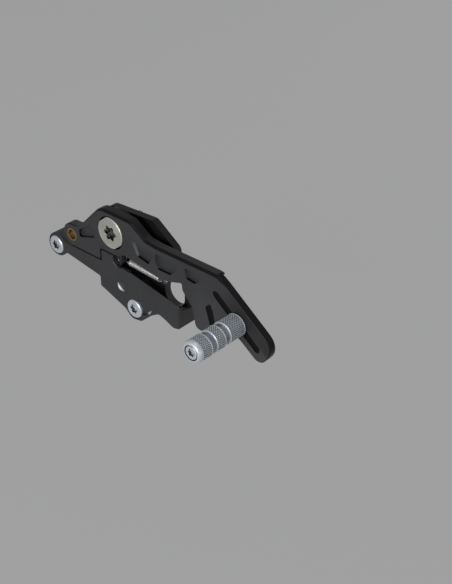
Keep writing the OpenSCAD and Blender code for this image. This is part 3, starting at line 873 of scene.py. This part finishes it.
class PEDAL_OT_spring(bpy.types.Operator):
    """Makes the return spring: a coil between two hooks"""

    bl_idname = "pedal.spring"
    bl_label = "Return spring"

    def execute(self, context):
        arm_pin, carrier_pin = middle("arm_spring_pin"), middle("carrier_spring_pin")
        level = middle("return_spring").y
        span = math.hypot(carrier_pin.x - arm_pin.x, carrier_pin.z - arm_pin.z)
        fall = math.atan2(arm_pin.z - carrier_pin.z, carrier_pin.x - arm_pin.x)
        wire_r, turns = sizes().wire / 2, sizes().turns
        coil_r, hook_r, lead, overlap, drop = 2.3 * MM, 2.35 * MM, 6.5 * MM, 0.3 * MM, 1.7 * MM
        wire_sides, coil_steps, hook_steps, quarter = 10, 20 * turns, 30, math.radians(90)

        coil = ring(wire_r, wire_sides, (lead, 0, -coil_r), (quarter, 0, 0))
        placed(coil)
        modified(coil, "SCREW", axis="X", angle=2 * math.pi * turns, screw_offset=(span - 2 * lead),
                 steps=coil_steps, render_steps=coil_steps, use_merge_vertices=False)
        coil.location = (0, 0, -drop)
        placed(coil)
        hooks = []
        for side, pin_x in ((1, 0), (-1, span)):
            hook = ring(wire_r, wire_sides, (pin_x, 0, -hook_r), (0, quarter, 0))
            placed(hook)
            editing(hook, action="SELECT")
            bpy.ops.mesh.spin(steps=hook_steps, angle=side * 3 * quarter, center=(pin_x, 0, 0),
                              axis=(0, 1, 0))
            done()
            pick_points(hook, lambda p: abs(p.x - pin_x) < 0.01 * MM and p.z < -hook_r + 2 * wire_r)
            bpy.ops.mesh.extrude_region_move(
                TRANSFORM_OT_translate={"value": (side * (lead + overlap), 0, -drop)})
            done()
            hooks.append(hook)
        obj = joined(coil, *hooks)
        editing(obj, action="SELECT")
        bpy.ops.mesh.remove_doubles(threshold=WELD)
        bpy.ops.mesh.select_all(action="DESELECT")
        bpy.ops.mesh.select_non_manifold()
        bpy.ops.mesh.edge_face_add()
        done()
        obj.rotation_euler = (0, fall, 0)
        obj.location = (arm_pin.x, level, arm_pin.z)
        placed(obj)
        outward(obj)
        named(obj, "spring_coil", [finish("spring_wire")])
        smooth(obj, 40)
        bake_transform(obj)
        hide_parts("return_spring")
        return {"FINISHED"}


SEEN_RAYS = ("Is Camera Ray", "Is Glossy Ray", "Is Transmission Ray")
ROOM_COLOUR, ROOM_STRENGTH = (0.30, 0.31, 0.33), 0.6
FLOOR_SIZE, FLOOR_DROP, FLOOR_GLOW, FLOOR_EVEN = 40.0, 0.12, 1.2, 0.75
LAMPS_AIM = Vector((0.05, -0.02, -0.02))
# Name, place, size and power of each lamp
LAMPS = (
    ("key", (0.3, -1.5, 0.35), 0.9, 15),
    ("side", (1.3, -0.3, 0.0), 0.8, 2),
    ("back", (0.3, 1.4, -0.05), 0.9, 9),
    ("top", (0.2, -0.2, 1.5), 0.8, 2.5),
)
CAMERA_PLACE = Vector((0.58869, -0.54301, 0.44924))
CAMERA_AZIMUTH, CAMERA_ELEVATION = math.radians(42), math.radians(32.7)
CAMERA_LENS = 73.2
CAMERA_NEAR = 0.05


class PEDAL_OT_studio(bpy.types.Operator):
    """Makes the backdrop, the floor, the lamps and the camera"""

    bl_idname = "pedal.studio"
    bl_label = "Studio"

    def execute(self, context):
        self.add_world(context)
        self.add_floor(context)
        self.add_lamps(context)
        self.add_camera(context)
        context.scene.view_settings.view_transform = "Standard"
        return {"FINISHED"}

    def add_world(self, context):
        """Shows the backdrop to camera and reflections, and lights the pedal by a dim room."""
        world = bpy.data.worlds.new("studio")
        context.scene.world = world
        world.use_nodes = True
        tree = world.node_tree
        seen, output = tree.nodes["Background"], tree.nodes["World Output"]
        seen.inputs["Color"].default_value = (*colour("backdrop"), 1)
        room = tree.nodes.new("ShaderNodeBackground")
        room.inputs["Color"].default_value = (*ROOM_COLOUR, 1)
        room.inputs["Strength"].default_value = ROOM_STRENGTH
        path, mix = tree.nodes.new("ShaderNodeLightPath"), tree.nodes.new("ShaderNodeMixShader")
        shown = path.outputs[SEEN_RAYS[0]]
        for ray in SEEN_RAYS[1:]:
            either = tree.nodes.new("ShaderNodeMath")
            either.operation = "MAXIMUM"
            tree.links.new(shown, either.inputs[0])
            tree.links.new(path.outputs[ray], either.inputs[1])
            shown = either.outputs[0]
        tree.links.new(shown, mix.inputs[0])
        tree.links.new(room.outputs[0], mix.inputs[1])
        tree.links.new(seen.outputs[0], mix.inputs[2])
        tree.links.new(mix.outputs[0], output.inputs["Surface"])

    def add_floor(self, context):
        """Lays a wide floor that keeps the pedal's shadow and is evened out where it is seen."""
        low, _ = CAD_BOX
        tone = colour("backdrop")
        bpy.ops.mesh.primitive_plane_add(size=FLOOR_SIZE, location=(0, 0, low.z - FLOOR_DROP))
        floor = context.active_object
        bpy.ops.object.transform_apply(location=True, rotation=True, scale=True)
        floor.name = "floor"
        f = Finish("floor")
        f.set(base_color=f.mix(f.noise(3, 2), shade(tone, 0.98), shade(tone, 1.02)), roughness=0.9)
        glow = f.node("ShaderNodeEmission", {}, {"Color": tone, "Strength": FLOOR_GLOW})
        camera, gloss, through = (f.node("ShaderNodeLightPath", {}, {}, ray) for ray in SEEN_RAYS)
        both = f.node("ShaderNodeMixShader", {}, {
            0: (camera + gloss + through) * FLOOR_EVEN, 1: Term(f, f.shader.outputs[0]), 2: glow})
        f.tree.links.new(both.socket, f.tree.nodes["Material Output"].inputs["Surface"])
        floor.data.materials.append(f.material)

    def add_lamps(self, context):
        for name, place, size, power in LAMPS:
            bpy.ops.object.light_add(type="AREA", location=place)
            lamp = context.active_object
            lamp.name = name
            lamp.data.size = size
            lamp.data.energy = power
            lamp.rotation_euler = (LAMPS_AIM - Vector(place)).to_track_quat("-Z", "Y").to_euler()

    def add_camera(self, context):
        """Sets the camera at the photograph's angle."""
        level = math.cos(CAMERA_ELEVATION)
        back = Vector((math.sin(CAMERA_AZIMUTH) * level, -math.cos(CAMERA_AZIMUTH) * level,
                       math.sin(CAMERA_ELEVATION)))
        bpy.ops.object.camera_add(location=CAMERA_PLACE,
                                  rotation=back.to_track_quat("Z", "Y").to_euler())
        camera = context.active_object
        camera.data.lens = CAMERA_LENS
        camera.data.clip_start = CAMERA_NEAR
        context.scene.camera = camera


class PEDAL_PT_panel(bpy.types.Panel):
    """Lists the pedal's pieces"""

    bl_idname = "PEDAL_PT_panel"
    bl_label = "Rear brake pedal"
    bl_space_type = "VIEW_3D"
    bl_region_type = "UI"
    bl_category = "Pedal"

    def draw(self, context):
        for group in (context.scene.pedal_sizes, context.scene.pedal_colours):
            for key in group.__annotations__:
                self.layout.prop(group, key)
        for operator in OPERATORS:
            self.layout.operator(operator.bl_idname)


OPERATORS = (PEDAL_OT_arm, PEDAL_OT_carrier, PEDAL_OT_small_parts, PEDAL_OT_bolts, PEDAL_OT_step,
             PEDAL_OT_spring, PEDAL_OT_studio)
CLASSES = (PedalSizes, PedalColours, *OPERATORS, PEDAL_PT_panel)


def register():
    for c in CLASSES:
        bpy.utils.register_class(c)
    bpy.types.Scene.pedal_sizes = bpy.props.PointerProperty(type=PedalSizes)
    bpy.types.Scene.pedal_colours = bpy.props.PointerProperty(type=PedalColours)


def unregister():
    del bpy.types.Scene.pedal_colours
    del bpy.types.Scene.pedal_sizes
    for c in reversed(CLASSES):
        bpy.utils.unregister_class(c)


def main():
    register()
    pedal = bpy.ops.pedal
    for operator in (pedal.arm, pedal.carrier, pedal.small_parts, pedal.bolts, pedal.step,
                     pedal.spring, pedal.studio):
        operator()


if __name__ == "__main__":
    main()
